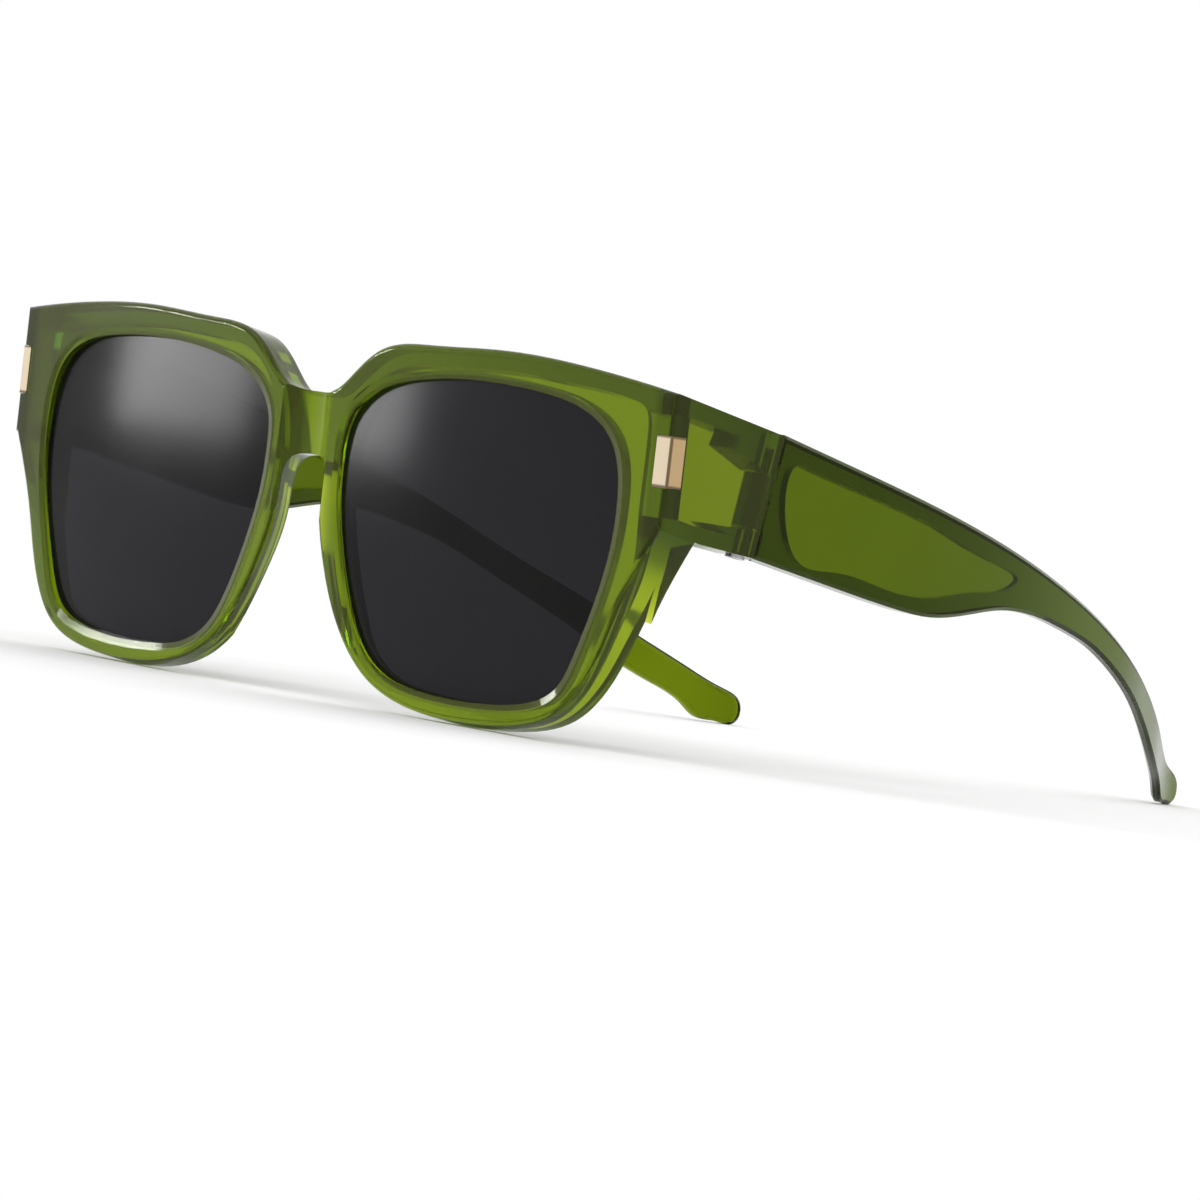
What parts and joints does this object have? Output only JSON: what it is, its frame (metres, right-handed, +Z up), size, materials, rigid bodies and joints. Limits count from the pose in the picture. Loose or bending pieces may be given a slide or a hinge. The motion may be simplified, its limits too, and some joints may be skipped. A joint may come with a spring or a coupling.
{
  "type": "fitover sunglasses",
  "caption": "Square fitover sunglasses with a translucent green moulded frame, dark grey lenses and gold corner trims; both temples fold.",
  "frame": {"origin": "on the surface it stands on, under the centre of its box", "axes": "+X to the wearer's left, -Y the way the lenses face, +Z up with the rim bottoms and ear tips on z = 0"},
  "size_m": [0.159, 0.1514, 0.0561],
  "materials": {
    "green_frame": "clear green moulded, polished",
    "grey_lens": "dark grey tint, polished",
    "gold_trim": "champagne gold, polished",
    "screw_steel": "bright"
  },
  "bodies": {
    "front": {"frame_front": "green_frame", "left_lens": "grey_lens", "right_lens": "grey_lens", "left_hinge_screw": "screw_steel", "right_hinge_screw": "screw_steel", "left_corner_trim": "gold_trim", "right_corner_trim": "gold_trim"},
    "left_arm": {"left_temple": "green_frame"},
    "right_arm": {"right_temple": "green_frame"}
  },
  "joints": [
    {"name": "left_fold", "type": "hinge", "parent": "front", "child": "left_arm", "pos_m": [0.0725, -0.05096, 0.03985], "axis": [0, 0.1417, 0.9899], "range_deg": [0, 83]},
    {"name": "right_fold", "type": "hinge", "parent": "front", "child": "right_arm", "pos_m": [-0.0725, -0.05096, 0.03985], "axis": [0, -0.1417, -0.9899], "range_deg": [0, 76]}
  ]
}
